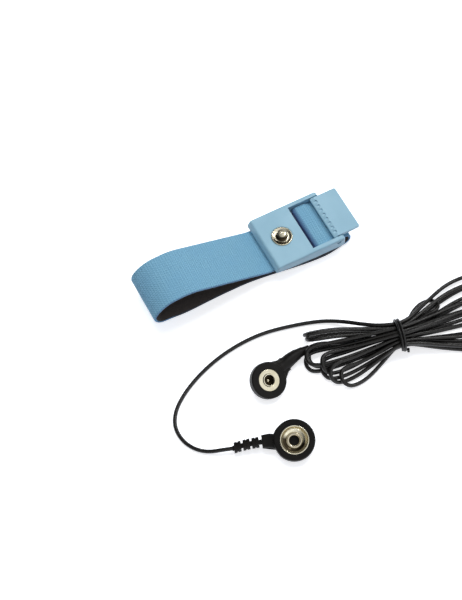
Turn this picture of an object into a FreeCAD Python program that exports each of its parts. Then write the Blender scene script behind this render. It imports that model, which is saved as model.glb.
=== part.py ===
import FreeCAD, Part
import math
import os

# Wrist strap for draining static charge: an elastic wristband with a clamping buckle
# and a snap stud, and its ground cord with two snap sockets, tied up in a hank.
# Millimetres, +Z up, the band lies on the surface z = 0 with its long way along X.
# The origin is the middle of the wristband's footprint.

Vector = FreeCAD.Vector

# Band
BAND_WIDTH = 21.0
WEB_THICK = 1.0
LINING_THICK = 0.5
BAND_HOLE_GAP = 0.2
TAIL_GAP = 0.25

# Line between web and lining: where its ends are, and the loop's corners with their radii
FIXED_END_X = 14.6
TAIL_END_X = 26.6
LOOP_START_X = -2.8
LOOP_START_RADIUS = 8.0
LOOP_CORNERS = [
    ((-37.6, 16.9), 20.0), ((-48.4, 16.3), 11.0), ((-53.5, 9.8), 4.7), ((-51.1, 5.2), 4.2),
]
LOOP_FLOOR_X = -26.0
LOOP_FLOOR_RADIUS = 40.0
FOLD_X = 33.3
RAMP_BEND = 3.0

# Buckle frame
BUCKLE_X = 7.765
BUCKLE_LENGTH = 30.3
BUCKLE_BOTTOM = 3.5
BUCKLE_TOP = 8.9
CHEEK_THICK = 1.9
BAY_GAP = 0.2
END_SLOPE = 1.2
END_UPRIGHT = 1.5
TAPER_LENGTH = 17.0
TAPER_ROUND = 12.0
PLATE_LENGTH = 16.4
PLATE_THICK = 1.8
PLATE_WALL = 1.5
FRAME_ROUND = 0.7
OUTLINE_ROUND = 1.2
SEAT_GAP = 0.1
DIVE_GAP = 0.225
ANVIL_LEFT = 20.3
ANVIL_RIGHT = 28.4
ANVIL_STEP = 0.6
ANVIL_ROUND = 0.55
RAMP_LEFT = 23.6
RAMP_RIGHT = 25.2

# Clamp lever
LEVER_SIDE_GAP = 0.5
PIVOT_X = 27.4
PIVOT_Z = 7.5
NOSE_FACE = 0.95
CAM_RADIUS = 0.9
CAM_AHEAD = 0.15
CAM_BELOW = 0.25
LEVER_REACH = 10.7
LEVER_PROUD = 0.1
TAB_THICK = 1.15
TRUNNION_RADIUS = 0.9
TRUNNION_GAP = 0.06
TRUNNION_SHORT = 0.3
TOOTH_PITCH = 2.3
TOOTH_SLOT = 1.1
TOOTH_DEPTH = 0.5
TOOTH_COUNT = 8
NOSE_SLOPE = 1.7
NOSE_DROP = 0.75
NOTCH_DEPTH = 0.45
NOTCH_END = 1.15
HUB_RIGHT = 0.6
TAB_ROOT = 2.6
TAB_CORNER = 0.8

# Snap stud, its rivet and the contact plate
STUD_X = 7.9
STUD_FLANGE_RADIUS = 4.3
STUD_RECESS_GAP = 0.25
STUD_RECESS_DEPTH = 0.3
STUD_HEAD_RADIUS = 2.0
STUD_NECK_RADIUS = 1.68
STUD_NECK_HEIGHT = 1.4
STUD_LAND = 1.0
STUD_HEIGHT = 3.1
SHEET = 0.3
RIVET_RADIUS = 1.2
RIVET_BORE = 0.8
RIVET_GAP = 0.1
RIVET_FLANGE_RADIUS = 3.0
RIVET_FLANGE_THICK = 0.3
BOSS_RADIUS = 3.4
CONTACT_THICK = 0.5
CONTACT_PROUD = 0.4
CONTACT_LEFT = 1.0
CONTACT_RIGHT = 15.2
CONTACT_SIDE = 0.5
CONTACT_CORNER = 2.0

# Cord and hank
CORD_DIAMETER = 1.6
FLOOR_GAP = 0.02
HANK_X = 36.2
HANK_Y = -59.4
HANK_ANGLE = -13.0
HANK_LEFT = 22.0
HANK_RIGHT = 35.0
HANK_LAST = 6
WAIST_STEP = 2.2
LEFT_STEP = 2.2
RIGHT_STEP = 3.6
WAIST_INNER = 0.56
LEFT_INNER = 4.6
RIGHT_INNER = 5.0
LAYER_STEP = 2.06
HANK_RUNS = 20
HANK_END = CORD_DIAMETER
LEAD_STRAIGHT = 4.0
TAIL_STRAIGHT = 3.2

# Tie round the hank
TIE_RADIUS = 0.65
TIE_GAP = 0.15
TIE_TAIL = 5.0
TIE_SLOPE = 2.6
TIE_BEND = 1.8
TIE_CROWN = 3.2
TIE_TWIST_Z = 1.9
TIE_TWIST_RISE = 0.4
TIE_TWIST_STEP = 1.235
TIE_SPREAD = 2.4

# Snap sockets: each has its own set of the same sizes
SMALL = {
    "cover_radius": 7.2, "cover_height": 5.4, "dome_radius": 12.0, "cover_round": 0.6,
    "flange_radius": 4.4, "lip_radius": 2.7, "bore_radius": 2.06, "bore_depth": 2.1, "mount_depth": 0.4,
    "dish": 0.3, "lug_radius": 2.9, "rivet_radius": 0.8, "rivet_head": 1.3,
    "rivet_foot": 1.6, "rivet_bore": 0.0, "spring_radius": 0.25, "groove_top": 0.7,
    "reach": 8.4,
}
LARGE = {
    "cover_radius": 8.0, "cover_height": 6.0, "dome_radius": 16.0, "cover_round": 0.6,
    "flange_radius": 5.6, "bore_radius": 5.06, "bore_depth": 2.3, "mount_depth": 0.45,
    "dish": 0.0, "lug_radius": 4.3, "rivet_radius": 2.5, "rivet_head": 3.7,
    "rivet_foot": 3.3, "rivet_bore": 2.1, "spring_radius": 0.3, "groove_top": 0.8,
    "reach": 10.2,
}
METAL = 0.35
RIVET_HEAD = 0.4
RIVET_FOOT = 0.3
LUG_THICK = 0.4
LUG_GAP = 0.05
COVER_GAP = 0.03
SPRING_GAP = 0.06
LIP_ROLL = 0.2
BARREL_RADIUS = 0.95
BARREL_LENGTH = 2.2
TONGUE_WIDTH = 1.8
CONDUCTOR_RADIUS = 0.4
SPRING_OPENING = 30.0

# Boot of the small snap, along its cord
BOOT_COLLAR_X = 9.6
BOOT_COLLAR_WIDTH = 6.2
BOOT_COLLAR_HEIGHT = 4.0
BOOT_COLLAR_THICK = 1.2
BOOT_COLLAR_ROUND = 1.3
BOOT_ROOT = 2.2
SHOULDER_X = 4.0
SHOULDER_WIDTH = 11.2
SHOULDER_TOP = -0.9
SHOULDER_BOTTOM = -3.7
SHOULDER_END_WIDTH = 5.4
BOOT_STRAIGHT = 14.0
BOOT_RADII = [2.75, 2.45, 2.1, 1.75]
BOOT_STEP = 2.7
BOOT_BEND = 4.0
BOOT_LEDGE = 0.18
RESISTOR_X = 11.4
RESISTOR_LENGTH = 3.6
RESISTOR_RADIUS = 0.95
RESISTOR_LEAD = 0.3

# Neck and strain relief of the large snap
NECK_END = 12.2
NECK_WIDTH = 6.3
NECK_TAPER = 1.3
NECK_HEIGHT = 4.4
NECK_ROUND = 1.1
NECK_ROOT = 2.5
RELIEF_END = 23.6
RELIEF_CORE = 1.3
RELIEF_PAIR_CORE = 1.8
RIB_RADIUS = 2.1
RIB_THICK = 1.15
RIB_SPACING = 1.55
PAIR_FIRST = 14.7
PAIR_STEP = 3.45
PAIR_COUNT = 3

# Where the snaps lie: middle of the face, and turn, dip and roll in degrees
SMALL_AT = (-18.7, -53.0)
SMALL_TURN = 18.0
SMALL_DIP = 0.0
SMALL_ROLL = 27.0
LARGE_AT = (-22.5, -79.6)
LARGE_TURN = 159.0
LARGE_DIP = 2.4
LARGE_ROLL = -18.0

CORD_RADIUS = CORD_DIAMETER / 2
CORD_Z = CORD_RADIUS + FLOOR_GAP
BAND_THICK = WEB_THICK + LINING_THICK
BAY_WIDTH = BAND_WIDTH + 2 * BAY_GAP
BUCKLE_WIDTH = BAY_WIDTH + 2 * CHEEK_THICK
LEVER_WIDTH = BAY_WIDTH - 2 * LEVER_SIDE_GAP

# Heights of the line between web and lining, from the surface up
BOTTOM_LINE = WEB_THICK
TAIL_LINE = BAND_THICK + TAIL_GAP + WEB_THICK
CONTACT_BOTTOM = BUCKLE_BOTTOM - CONTACT_PROUD
FIXED_LINE = CONTACT_BOTTOM + CONTACT_THICK + LINING_THICK
ANVIL_LOW = 4.7
ANVIL_HIGH = ANVIL_LOW + ANVIL_STEP
LOW_LINE = ANVIL_LOW + LINING_THICK
HIGH_LINE = ANVIL_HIGH + LINING_THICK
BAND_TOP = FIXED_LINE + WEB_THICK
DIVE_RADIUS = (HIGH_LINE - TAIL_LINE) / 2
DIVE_X = ANVIL_LEFT - DIVE_GAP - LINING_THICK

# Cord between the strain relief and the hank, on the surface, from the snap on.
# Its last stretch climbs onto the hank's top layer.
LEAD_POINTS = [
    (-52.5, -66.8, 1.2), (-56.5, -63.2, 0.82), (-59.1, -57.8, 0.82), (-59.1, -51.2, 0.82),
    (-55.7, -45.4, 0.82), (-49.3, -40.4, 0.82), (-40.1, -35.8, 0.82), (-29.1, -32.6, 0.82),
    (-17.5, -31.6, 0.82), (-6.5, -32.6, 0.82), (3.1, -35.2, 1.2), (11.3, -39.1, 3.0),
    (18.5, -44.0, 6.2), (22.9, -49.6, 8.3), (26.5, -55.2, 8.9),
]


def unit(vector):
    return vector * (1.0 / vector.Length)


def box(x0, x1, y0, y1, z0, z1):
    return Part.makeBox(x1 - x0, y1 - y0, z1 - z0, Vector(x0, y0, z0))


def disc(radius, x, y, z0, z1):
    return Part.makeCylinder(radius, z1 - z0, Vector(x, y, z0))


def rod(radius, x0, x1, y, z):
    return Part.makeCylinder(radius, x1 - x0, Vector(x0, y, z), Vector(1, 0, 0))


def cross_rod(radius, x, z, y0, y1):
    return Part.makeCylinder(radius, y1 - y0, Vector(x, y0, z), Vector(0, 1, 0))


def corner(before, point, after, radius):
    """Start, middle and end of the arc that rounds a corner, and its radius."""
    back = unit(before - point)
    ahead = unit(after - point)
    half = back.getAngle(ahead) / 2
    reach = radius / math.tan(half)
    centre = point + unit(back + ahead) * (radius / math.sin(half))
    middle = centre + unit(point - centre) * radius
    return point + back * reach, middle, point + ahead * reach, centre


def line(start, end):
    return [Part.LineSegment(start, end).toShape()] if (end - start).Length > 1e-5 else []


def closed_face(points, radii):
    """Flat face with rounded corners; a radius of 0 leaves a corner sharp."""
    count = len(points)
    arcs = []
    for i, (point, radius) in enumerate(zip(points, radii)):
        if radius > 0:
            start, middle, end, _ = corner(points[i - 1], point, points[(i + 1) % count], radius)
            arcs.append((start, middle, end))
        else:
            arcs.append((point, None, point))
    edges = []
    for i, (start, middle, end) in enumerate(arcs):
        if middle is not None:
            edges.append(Part.Arc(start, middle, end).toShape())
        edges += line(end, arcs[(i + 1) % count][0])
    return Part.Face(Part.Wire(edges))


def slab(outline, radii, y0, y1):
    """Outline of x, z pairs, drawn out along Y."""
    face = closed_face([Vector(x, y0, z) for x, z in outline], radii)
    return face.extrude(Vector(0, y1 - y0, 0))


def turned(profile):
    """Solid of revolution about Z from r, z pairs and three-point arcs."""
    edges = []
    last = Vector(profile[0][0], 0, profile[0][1])
    for step in profile[1:]:
        end = Vector(step[-2], 0, step[-1])
        if len(step) == 4:
            edges.append(Part.Arc(last, Vector(step[0], 0, step[1]), end).toShape())
        else:
            edges += line(last, end)
        last = end
    edges += line(last, Vector(profile[0][0], 0, profile[0][1]))
    face = Part.Face(Part.Wire(edges))
    return face.revolve(Vector(0, 0, 0), Vector(0, 0, 1), 360)


def band_route():
    """Corners of the line between web and lining, and the radius at each."""
    u_turn = (LOW_LINE - BOTTOM_LINE) / 2
    return [
        ((FIXED_END_X, FIXED_LINE), 0), ((LOOP_START_X, FIXED_LINE), LOOP_START_RADIUS),
        *LOOP_CORNERS,
        ((LOOP_FLOOR_X, BOTTOM_LINE), LOOP_FLOOR_RADIUS),
        ((FOLD_X, BOTTOM_LINE), u_turn), ((FOLD_X, LOW_LINE), u_turn),
        ((RAMP_RIGHT, LOW_LINE), RAMP_BEND), ((RAMP_LEFT, HIGH_LINE), RAMP_BEND),
        ((DIVE_X, HIGH_LINE), DIVE_RADIUS), ((DIVE_X, TAIL_LINE), DIVE_RADIUS),
        ((TAIL_END_X, TAIL_LINE), 0),
    ]


def offset_edges(route, offset, y):
    """The route moved to its left by offset, as lines and arcs."""
    points = [Vector(x, y, z) for (x, z), _ in route]
    marks = []
    for i, point in enumerate(points):
        radius = route[i][1]
        if radius > 0:
            start, middle, end, centre = corner(points[i - 1], point, points[i + 1], radius)
            marks.append((start, middle, end, centre))
        else:
            marks.append((point, None, point, None))

    def left(i, j):
        way = unit(points[j] - points[i])
        return Vector(-way.z, 0, way.x) * offset

    edges = []
    last = marks[0][2] + left(0, 1)
    for i in range(1, len(points)):
        start, middle, end, centre = marks[i]
        before = left(i - 1, i)
        edges += line(last, start + before)
        if middle is None:
            last = start + before
            continue
        after = left(i, i + 1)
        turn = (start + before - centre).Length
        edges.append(Part.Arc(start + before, centre + unit(middle - centre) * turn,
                              end + after).toShape())
        last = end + after
    return edges


def ribbon(inner, outer):
    """One layer of the band between two offsets of its route."""
    y = -BAND_WIDTH / 2
    route = band_route()
    one = offset_edges(route, inner, y)
    two = offset_edges(route, outer, y)
    ends = line(one[0].Vertexes[0].Point, two[0].Vertexes[0].Point)
    ends += line(one[-1].Vertexes[-1].Point, two[-1].Vertexes[-1].Point)
    wire = Part.Wire(Part.__sortEdges__(one + two + ends))
    layer = Part.Face(wire).extrude(Vector(0, BAND_WIDTH, 0))
    hole = disc(RIVET_RADIUS + BAND_HOLE_GAP, STUD_X, 0, CONTACT_BOTTOM, BUCKLE_TOP)
    return layer.cut(hole)


def elastic_web():
    return ribbon(0, -WEB_THICK)


def conductive_lining():
    return ribbon(0, LINING_THICK)


def buckle_frame():
    side = BUCKLE_WIDTH / 2
    bay = BAY_WIDTH / 2
    channel_top = BAND_TOP + SEAT_GAP
    outline = [(-END_SLOPE, channel_top), (-END_SLOPE, channel_top + END_UPRIGHT),
               (0, BUCKLE_TOP), (BUCKLE_LENGTH, BUCKLE_TOP), (BUCKLE_LENGTH, BUCKLE_BOTTOM),
               (TAPER_LENGTH, BUCKLE_BOTTOM)]
    rounds = [FRAME_ROUND + 0.1] + [OUTLINE_ROUND] * 4 + [TAPER_ROUND]
    body = slab(outline, rounds, -side, side)
    flanks = [e for e in body.Edges if abs(abs(e.CenterOfMass.y) - side) < 1e-3]
    body = body.makeFillet(FRAME_ROUND, flanks)
    below = BUCKLE_BOTTOM - 1
    above = BUCKLE_TOP + 1
    body = body.cut(box(-END_SLOPE - 1, PLATE_LENGTH + 1, -bay, bay, below, channel_top))
    body = body.cut(box(PLATE_WALL, PLATE_LENGTH - PLATE_WALL, -bay, bay, below,
                        BUCKLE_TOP - PLATE_THICK))
    body = body.cut(box(PLATE_LENGTH, BUCKLE_LENGTH + 1, -bay, bay, below, above))
    body = body.fuse(disc(BOSS_RADIUS, STUD_X, 0, BAND_TOP, BUCKLE_TOP - PLATE_THICK / 2))
    top = [(ANVIL_LEFT, BUCKLE_BOTTOM), (ANVIL_RIGHT, BUCKLE_BOTTOM),
           (ANVIL_RIGHT, ANVIL_LOW - SEAT_GAP), (RAMP_RIGHT, ANVIL_LOW - SEAT_GAP),
           (RAMP_LEFT, ANVIL_HIGH - SEAT_GAP), (ANVIL_LEFT, ANVIL_HIGH - SEAT_GAP)]
    rounds = [ANVIL_ROUND, ANVIL_ROUND - 0.1, ANVIL_ROUND - 0.1, 0, 0, ANVIL_ROUND]
    body = body.fuse(slab(top, rounds, -bay - CHEEK_THICK / 2, bay + CHEEK_THICK / 2))
    recess = BUCKLE_TOP - STUD_RECESS_DEPTH
    body = body.cut(disc(STUD_FLANGE_RADIUS + STUD_RECESS_GAP, STUD_X, 0, recess, above))
    body = body.cut(disc(RIVET_RADIUS + RIVET_GAP, STUD_X, 0, below, above))
    hole = cross_rod(TRUNNION_RADIUS + TRUNNION_GAP, PIVOT_X, PIVOT_Z, -side - 1, side + 1)
    return body.cut(hole).removeSplitter()


def clamp_lever():
    half = LEVER_WIDTH / 2
    top = BUCKLE_TOP + LEVER_PROUD - PIVOT_Z
    outline = [(-NOSE_FACE, 0), (-NOSE_FACE, top - NOSE_DROP), (-NOSE_FACE + NOSE_SLOPE, top),
               (LEVER_REACH, top), (LEVER_REACH, top - TAB_THICK),
               (TAB_ROOT, top - TAB_THICK - 0.25), (HUB_RIGHT, -TRUNNION_RADIUS)]
    plate = slab(outline, [0, 0.3, 0.3, 0.4, 0.4, 1.5, 0], -half, half)
    corners = [Vector(-NOSE_FACE - 1, -half, -PIVOT_Z), Vector(LEVER_REACH, -half, -PIVOT_Z),
               Vector(LEVER_REACH, half, -PIVOT_Z), Vector(-NOSE_FACE - 1, half, -PIVOT_Z)]
    plan = closed_face(corners, [0, TAB_CORNER, TAB_CORNER, 0]).extrude(Vector(0, 0, 2 * PIVOT_Z))
    plate = plate.common(plan)
    lever = plate.fuse(cross_rod(CAM_RADIUS, CAM_AHEAD, -CAM_BELOW, -half, half))
    reach = BUCKLE_WIDTH / 2 - TRUNNION_SHORT
    lever = lever.fuse(cross_rod(TRUNNION_RADIUS, 0, 0, -reach, reach))
    for i in range(TOOTH_COUNT):
        y = (i - (TOOTH_COUNT - 1) / 2) * TOOTH_PITCH
        low = y - TOOTH_SLOT / 2
        high = y + TOOTH_SLOT / 2
        lever = lever.cut(box(-NOSE_FACE - 1, -NOSE_FACE + TOOTH_DEPTH, low, high, -PIVOT_Z, 0))
        lever = lever.cut(box(-NOSE_FACE - 1, NOTCH_END, low, high, top - NOTCH_DEPTH, top + 1))
    lever.translate(Vector(PIVOT_X, 0, PIVOT_Z))
    return lever.removeSplitter()


def snap_stud():
    """Pressed stud: rolled rim, shallow dish, neck and round head, hollow below."""
    rim = STUD_FLANGE_RADIUS
    neck = STUD_NECK_RADIUS
    head = STUD_HEAD_RADIUS
    low = STUD_NECK_HEIGHT
    high = low + 0.3 + STUD_LAND
    outside = [(rim - 0.275, 0), (rim, 0.275, rim - 0.275, 0.55), (rim - 1.1, SHEET + 0.05),
               (neck + 0.35, SHEET + 0.05), (neck + 0.08, SHEET + 0.15, neck, SHEET + 0.45),
               (neck, low), (head, low + 0.3), (head, high),
               (head - 0.1, STUD_HEIGHT - 0.12, head - 0.55, STUD_HEIGHT),
               (0.9, STUD_HEIGHT), (0, STUD_HEIGHT - 0.25)]
    inside = [(0, STUD_HEIGHT - 0.25 - SHEET), (0.85, STUD_HEIGHT - SHEET),
              (head - 0.6, STUD_HEIGHT - SHEET), (head - SHEET, high),
              (head - SHEET, low + 0.35), (neck - SHEET, low), (neck - SHEET, SHEET),
              (neck - SHEET + 0.2, 0)]
    stud = turned(outside + inside)
    stud.translate(Vector(STUD_X, 0, BUCKLE_TOP - STUD_RECESS_DEPTH))
    return stud


def stud_rivet():
    """Tube from the skin side up into the stud, spread inside its head."""
    foot = CONTACT_BOTTOM
    seat = BUCKLE_TOP - STUD_RECESS_DEPTH + STUD_NECK_HEIGHT
    edge = RIVET_FLANGE_RADIUS
    thick = RIVET_FLANGE_THICK
    spread = STUD_HEAD_RADIUS - SHEET - 0.1
    diagonal = thick * math.sqrt(0.5)
    profile = [(RIVET_BORE, foot - thick), (edge - thick, foot - thick),
               (edge - thick + diagonal, foot - diagonal, edge, foot), (RIVET_RADIUS, foot),
               (RIVET_RADIUS, seat + 0.1), (spread, seat + 0.45), (spread, seat + 0.7),
               (RIVET_BORE, seat + 0.7)]
    rivet = turned(profile)
    rivet.translate(Vector(STUD_X, 0, 0))
    return rivet


def contact_plate():
    half = BAND_WIDTH / 2 - CONTACT_SIDE
    corners = [Vector(CONTACT_LEFT, -half, CONTACT_BOTTOM), Vector(CONTACT_RIGHT, -half, CONTACT_BOTTOM),
               Vector(CONTACT_RIGHT, half, CONTACT_BOTTOM), Vector(CONTACT_LEFT, half, CONTACT_BOTTOM)]
    plate = closed_face(corners, [CONTACT_CORNER] * 4).extrude(Vector(0, 0, CONTACT_THICK))
    rim = [e for e in plate.Edges if abs(e.CenterOfMass.z - CONTACT_BOTTOM) < 1e-3]
    plate = plate.makeFillet(CONTACT_THICK / 2, rim)
    return plate.cut(disc(RIVET_RADIUS + RIVET_GAP, STUD_X, 0, 0, BUCKLE_TOP))


def snap_turn(turn, dip, roll):
    """Rotation from a snap's own frame: +Z out of its mouth, +X along its cord."""
    way = FreeCAD.Rotation(Vector(0, 0, 1), turn)
    way = way.multiply(FreeCAD.Rotation(Vector(0, 1, 0), dip))
    return way.multiply(FreeCAD.Rotation(Vector(1, 0, 0), roll))


def snap_place(size, at, turn, dip, roll):
    """The snap rests on its domed back: the dome's centre is one radius up."""
    way = snap_turn(turn, dip, roll)
    up = way.multVec(Vector(0, 0, 1)).z
    rise = size["dome_radius"] + (size["cover_height"] - size["dome_radius"]) * up
    return FreeCAD.Placement(Vector(at[0], at[1], rise + FLOOR_GAP), way)


def axis_depth(size):
    """Depth of the cord's axis below the face: the middle of the lug."""
    return -size["bore_depth"] - RIVET_HEAD - METAL - LUG_GAP - LUG_THICK / 2


def socket_under(size):
    """Height of the underside of the socket's flange."""
    return -size["dish"] - METAL if size["dish"] > 0 else -0.3


def groove_wall(size):
    """Outer radius of the socket round its groove."""
    return size["bore_radius"] + 2 * size["spring_radius"] + SPRING_GAP + METAL


def socket(size):
    """Pressed cup with a rolled lip and a groove for its spring."""
    bore = size["bore_radius"]
    rim = size["flange_radius"]
    floor = -size["bore_depth"] - RIVET_HEAD
    top = -size["groove_top"]
    low = top - 2 * size["spring_radius"] - 0.1
    outside = groove_wall(size)
    groove = outside - METAL
    under = socket_under(size)
    dish = size["dish"]
    roll = LIP_ROLL
    diagonal = roll * math.sqrt(0.5)
    profile = [(bore, floor), (bore, low), (groove, low), (groove, top), (bore, top), (bore, -roll / 2),
               (bore + roll - diagonal, diagonal - roll / 2, bore + roll, roll / 2)]
    if dish > 0:
        profile += [(size["lip_radius"] - dish, roll / 2), (size["lip_radius"], -dish),
                    (rim - 0.3, -dish), (rim - 0.3 + 0.15 * math.sqrt(2), -dish - 0.3 + 0.15 * math.sqrt(2),
                                         rim, -dish - 0.3)]
    else:
        profile += [(rim - roll, roll / 2), (rim - roll + diagonal, diagonal - roll / 2, rim, -roll / 2)]
    profile += [(rim, under), (outside, under), (outside, low - METAL),
                (bore + METAL, low - METAL), (bore + METAL, floor - METAL),
                (size["rivet_radius"] + LUG_GAP, floor - METAL), (size["rivet_radius"] + LUG_GAP, floor)]
    return turned(profile)


def spring(size):
    """Split ring that lies in the groove, its opening towards the cord."""
    radius = size["spring_radius"]
    ring = size["bore_radius"] + radius + 0.03
    z = -size["groove_top"] - radius - 0.05
    circle = Part.Wire(Part.Circle(Vector(ring, 0, z), Vector(0, 1, 0), radius).toShape())
    body = Part.Face(circle).revolve(Vector(0, 0, 0), Vector(0, 0, 1), 360 - SPRING_OPENING)
    body.rotate(Vector(0, 0, 0), Vector(0, 0, 1), SPRING_OPENING / 2)
    return body


def snap_rivet(size):
    """Head on the socket's floor, shank through the lug, foot below it."""
    floor = -size["bore_depth"] - RIVET_HEAD
    foot = floor - METAL - 2 * LUG_GAP - LUG_THICK
    head = size["rivet_head"]
    shank = size["rivet_radius"]
    bore = size["rivet_bore"]
    half = RIVET_HEAD / 2
    diagonal = half * math.sqrt(0.5)
    profile = [(bore, floor + half)]
    if bore > 0:
        profile.append((bore + half - diagonal, floor + half + diagonal, bore + half, floor + RIVET_HEAD))
    else:
        profile.append((bore, floor + RIVET_HEAD))
    profile += [(head - half, floor + RIVET_HEAD),
                (head - half + diagonal, floor + half + diagonal, head, floor + half), (head, floor),
                (shank, floor), (shank, foot), (size["rivet_foot"], foot),
                (size["rivet_foot"], foot - RIVET_FOOT), (bore, foot - RIVET_FOOT)]
    return turned(profile)


def terminal(size):
    """Ring lug under the socket, tongue and crimp barrel on the cord's axis."""
    z = axis_depth(size)
    low = z - LUG_THICK / 2
    ring = disc(size["lug_radius"], 0, 0, low, low + LUG_THICK)
    tongue = box(0, size["reach"] - BARREL_LENGTH / 2, -TONGUE_WIDTH / 2, TONGUE_WIDTH / 2,
                 low, low + LUG_THICK)
    barrel = rod(BARREL_RADIUS, size["reach"] - BARREL_LENGTH, size["reach"], 0, z)
    lug = ring.fuse(tongue).fuse(barrel)
    lug = lug.cut(rod(CONDUCTOR_RADIUS + LUG_GAP, size["reach"] - BARREL_LENGTH, size["reach"] + 1, 0, z))
    return lug.cut(disc(size["rivet_radius"] + LUG_GAP, 0, 0, low - 1, 0)).removeSplitter()


def cover_shell(size):
    """Round cover, flat round the metal, with a domed back."""
    rim = size["cover_radius"]
    edge = size["cover_round"]
    deep = size["cover_height"]
    dome = size["dome_radius"]

    def back(radius):
        return dome - deep - math.sqrt(dome ** 2 - radius ** 2)

    shoulder = back(rim - edge)
    profile = [(0, 0), (rim - edge, 0), (rim - 0.3 * edge, -0.3 * edge, rim, -edge),
               (rim, shoulder + edge), (rim - 0.2 * edge, shoulder + 0.35 * edge, rim - edge, shoulder),
               (rim * 0.5, back(rim * 0.5), 0, -deep)]
    return turned(profile)


def metal_room(size):
    """Space in a cover for socket, lug, rivet foot and barrel."""
    z = axis_depth(size)
    floor = -size["bore_depth"] - RIVET_HEAD - METAL
    foot = floor - 2 * LUG_GAP - LUG_THICK - RIVET_FOOT
    under = socket_under(size)
    room = disc(size["flange_radius"] + LUG_GAP, 0, 0, under - COVER_GAP, 1)
    room = room.fuse(disc(groove_wall(size) + COVER_GAP, 0, 0, floor - COVER_GAP, under + COVER_GAP))
    room = room.fuse(disc(size["lug_radius"] + LUG_GAP, 0, 0, z - LUG_THICK / 2 - LUG_GAP, floor + 0.1))
    room = room.fuse(disc(size["rivet_foot"] + LUG_GAP, 0, 0, foot - LUG_GAP, floor))
    room = room.fuse(box(0, size["reach"] - 1, -TONGUE_WIDTH / 2 - LUG_GAP, TONGUE_WIDTH / 2 + LUG_GAP,
                         z - LUG_THICK / 2 - LUG_GAP, z + LUG_THICK / 2 + LUG_GAP))
    return room.fuse(rod(BARREL_RADIUS + LUG_GAP, size["reach"] - BARREL_LENGTH - LUG_GAP,
                         size["reach"] + LUG_GAP, 0, z))


def boot_path():
    """Places and directions of the rings of the bent boot, in the snap's frame."""
    z = axis_depth(SMALL)
    stations = [(Vector(SMALL["cover_radius"] - BOOT_ROOT, 0, z), 0.0), (Vector(BOOT_STRAIGHT, 0, z), 0.0)]
    angle = 0.0
    point = stations[-1][0]
    for _ in range(len(BOOT_RADII) - 1):
        angle += BOOT_BEND
        middle = math.radians(angle - BOOT_BEND / 2)
        point = point + Vector(math.cos(middle), -math.sin(middle), 0) * BOOT_STEP
        stations.append((point, angle))
    return stations


def ring_wire(station, radius):
    point, angle = station
    way = Vector(math.cos(math.radians(angle)), -math.sin(math.radians(angle)), 0)
    return Part.Wire(Part.Circle(point, way, radius).toShape())


def shoulder():
    """Web that narrows from the round cover to the boot's collar."""
    wires = []
    for x, half in ((SHOULDER_X, SHOULDER_WIDTH / 2), (BOOT_COLLAR_X, SHOULDER_END_WIDTH / 2)):
        face = closed_face([Vector(x, -half, SHOULDER_BOTTOM), Vector(x, half, SHOULDER_BOTTOM),
                            Vector(x, half, SHOULDER_TOP), Vector(x, -half, SHOULDER_TOP)],
                           [NECK_ROUND] * 4)
        wires.append(face.OuterWire)
    return Part.makeLoft(wires, True, True)


def small_snap_cover():
    z = axis_depth(SMALL)
    cover = cover_shell(SMALL)
    stations = boot_path()
    radii = [BOOT_RADII[0]] + BOOT_RADII
    ledge = BOOT_LEDGE
    boot = None
    for i in range(len(stations) - 1):
        far = radii[i + 1] + (ledge if i else 0)
        wires = [ring_wire(stations[i], radii[i]), ring_wire(stations[i + 1], far)]
        piece = Part.makeLoft(wires, True, True)
        boot = piece if boot is None else boot.fuse(piece)
    half = BOOT_COLLAR_WIDTH / 2
    tall = BOOT_COLLAR_HEIGHT / 2
    low = BOOT_COLLAR_X - BOOT_COLLAR_THICK / 2
    corners = [Vector(low, -half, z - tall), Vector(low, half, z - tall),
               Vector(low, half, z + tall), Vector(low, -half, z + tall)]
    collar = closed_face(corners, [BOOT_COLLAR_ROUND] * 4).extrude(Vector(BOOT_COLLAR_THICK, 0, 0))
    cover = cover.fuse(boot).fuse(collar).fuse(shoulder())
    cover = cover.cut(metal_room(SMALL))
    return cover.cut(conductor_room(SMALL, True)).removeSplitter()


def conductor_path(bent):
    """Middle line of the conductor from the crimp to the cord's end."""
    if bent:
        return [station[0] for station in boot_path()[1:]]
    z = axis_depth(LARGE)
    return [Vector(LARGE["reach"], 0, z), Vector(RELIEF_END, 0, z)]


def pin_chain(points, radius):
    """Rods with round joints along a few points, cut square at the last one."""
    body = None
    for start, end in zip(points, points[1:]):
        piece = Part.makeCylinder(radius, (end - start).Length, start, end - start)
        body = piece if body is None else body.fuse(piece).fuse(Part.makeSphere(radius, start))
    return body


def conductor_room(size, bent):
    room = pin_chain(conductor_path(bent), CONDUCTOR_RADIUS + LUG_GAP)
    if bent:
        z = axis_depth(size)
        room = room.fuse(rod(RESISTOR_RADIUS + LUG_GAP, RESISTOR_X - RESISTOR_LENGTH / 2 - LUG_GAP,
                             RESISTOR_X + RESISTOR_LENGTH / 2 + LUG_GAP, 0, z))
        room = room.fuse(rod(CONDUCTOR_RADIUS + LUG_GAP, size["reach"], BOOT_STRAIGHT, 0, z))
    return room


def small_snap_conductor():
    return pin_chain(conductor_path(True), CONDUCTOR_RADIUS)


def large_snap_conductor():
    z = axis_depth(LARGE)
    return rod(CONDUCTOR_RADIUS, LARGE["reach"] - BARREL_LENGTH + 0.2, RELIEF_END, 0, z)


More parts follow.
